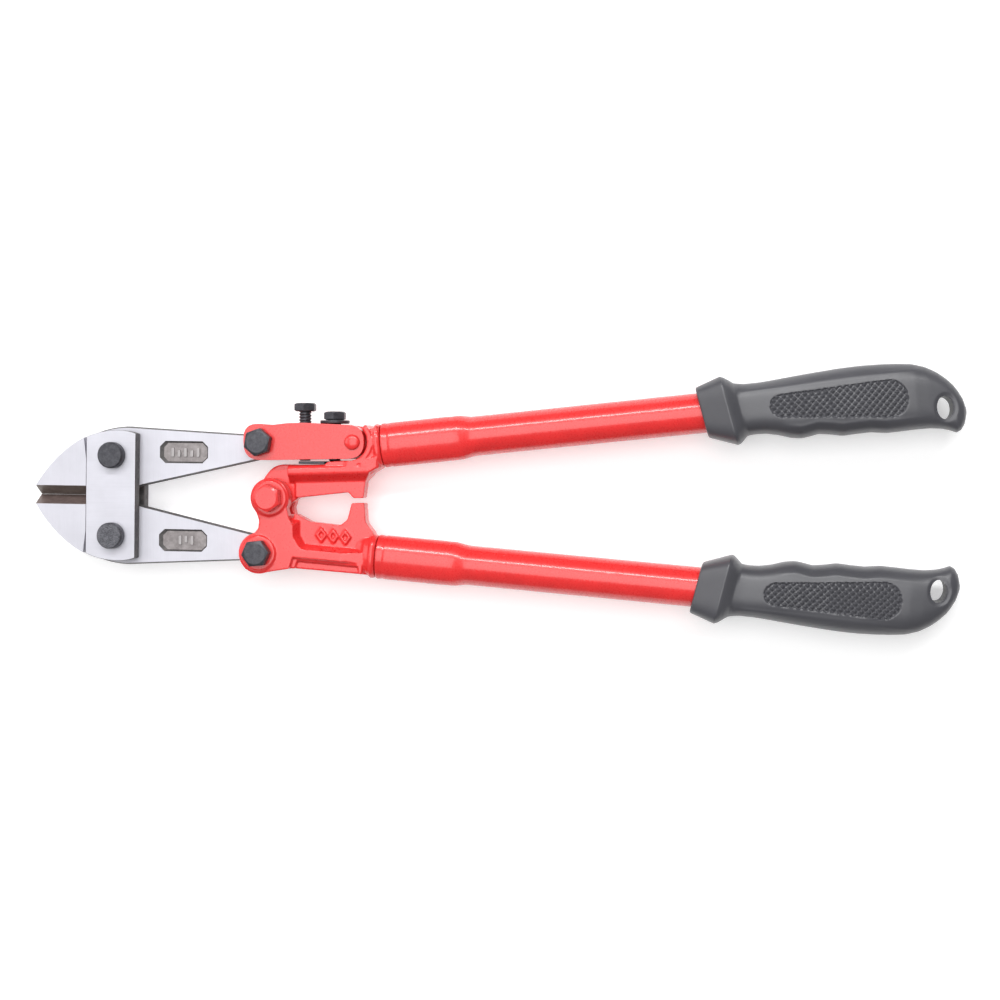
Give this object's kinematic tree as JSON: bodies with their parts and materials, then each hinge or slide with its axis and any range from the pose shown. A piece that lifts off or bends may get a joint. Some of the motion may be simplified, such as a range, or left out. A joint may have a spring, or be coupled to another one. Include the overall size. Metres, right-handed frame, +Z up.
{
  "type": "bolt cutters",
  "caption": "Hand bolt cutters lying closed: toggle-linked jaws between head plates, a screw-set link, tubular handles and moulded grips.",
  "frame": {"origin": "middle of the tool's footprint, on the surface that it lies on", "axes": "+X from the jaw tips to the grips, +Y from the lower handle to the upper one, +Z up from the surface, square to the flat of the tool"},
  "size_m": [0.4526, 0.1262, 0.032],
  "materials": {
    "blade_steel": "ground forged steel with dark unground edges",
    "plate_steel": "ground steel",
    "black_steel": "black oxide, satin",
    "red_paint": "glossy red enamel",
    "grip_plastic": "dark grey moulded plastic, knurled panel"
  },
  "bodies": {
    "head": {"front_head_plate": "plate_steel", "rear_head_plate": "plate_steel", "upper_head_bolt": "black_steel", "upper_head_washer": "black_steel", "upper_head_nut": "black_steel", "lower_head_bolt": "black_steel", "lower_head_washer": "black_steel", "lower_head_nut": "black_steel"},
    "upper_blade": {"upper_blade": "blade_steel"},
    "lower_blade": {"lower_blade": "blade_steel"},
    "link": {"adjuster_link": "red_paint", "link_rivet": "red_paint", "lock_washer": "black_steel", "upper_tail_bolt": "black_steel", "upper_tail_washer": "black_steel", "upper_tail_nut": "black_steel"},
    "upper_handle": {"upper_bracket": "red_paint", "upper_tube": "red_paint", "upper_grip": "grip_plastic", "adjuster_pad": "black_steel"},
    "lower_handle": {"lower_bracket": "red_paint", "lower_tube": "red_paint", "lower_grip": "grip_plastic", "lower_tail_bolt": "black_steel", "lower_tail_washer": "black_steel", "lower_tail_nut": "black_steel", "main_pivot_bolt": "red_paint", "main_pivot_washer": "red_paint", "main_pivot_nut": "red_paint"},
    "adjusting_bolt": {"adjusting_bolt": "black_steel"},
    "lock_bolt": {"lock_bolt": "black_steel"}
  },
  "joints": [
    {"name": "handle_spread", "type": "hinge", "parent": "upper_blade", "child": "link", "pos_m": [-0.10945, 0.02738, 0.016], "axis": [0, 0, 1], "range_deg": [0, 47]},
    {"name": "upper_blade_pivot", "type": "hinge", "parent": "head", "child": "upper_blade", "pos_m": [-0.18464, 0.02123, 0.016], "axis": [0, 0, -1], "range_deg": [0, 6.8]},
    {"name": "lower_blade_pivot", "type": "hinge", "parent": "head", "child": "lower_blade", "pos_m": [-0.1852, -0.01857, 0.016], "axis": [0, 0, 1], "range_deg": [0, 6.8]},
    {"name": "lower_handle_pivot", "type": "hinge", "parent": "lower_blade", "child": "lower_handle", "pos_m": [-0.11021, -0.02682, 0.016], "axis": [0, 0, -1], "range_deg": [0, 47]},
    {"name": "gap_adjust", "type": "hinge", "parent": "link", "child": "upper_handle", "pos_m": [-0.06302, 0.02733, 0.016], "axis": [0, 0, 1], "range_deg": [-0.5, 0.5]},
    {"name": "adjusting_bolt_turn", "type": "hinge", "parent": "link", "child": "adjusting_bolt", "pos_m": [-0.08892, 0.03933, 0.016], "axis": [0, 1, 0], "range_deg": [-90, 90]},
    {"name": "lock_bolt_turn", "type": "hinge", "parent": "upper_handle", "child": "lock_bolt", "pos_m": [-0.07392, 0.03933, 0.016], "axis": [0, 1, 0], "range_deg": [0, 180]}
  ],
  "couplings": [
    {"joint": "upper_blade_pivot", "follows": "handle_spread", "ratio": 0.144},
    {"joint": "lower_blade_pivot", "follows": "handle_spread", "ratio": 0.144},
    {"joint": "lower_handle_pivot", "follows": "handle_spread", "ratio": 1},
    {"joint": "adjusting_bolt_turn", "follows": "gap_adjust", "ratio": 180}
  ]
}
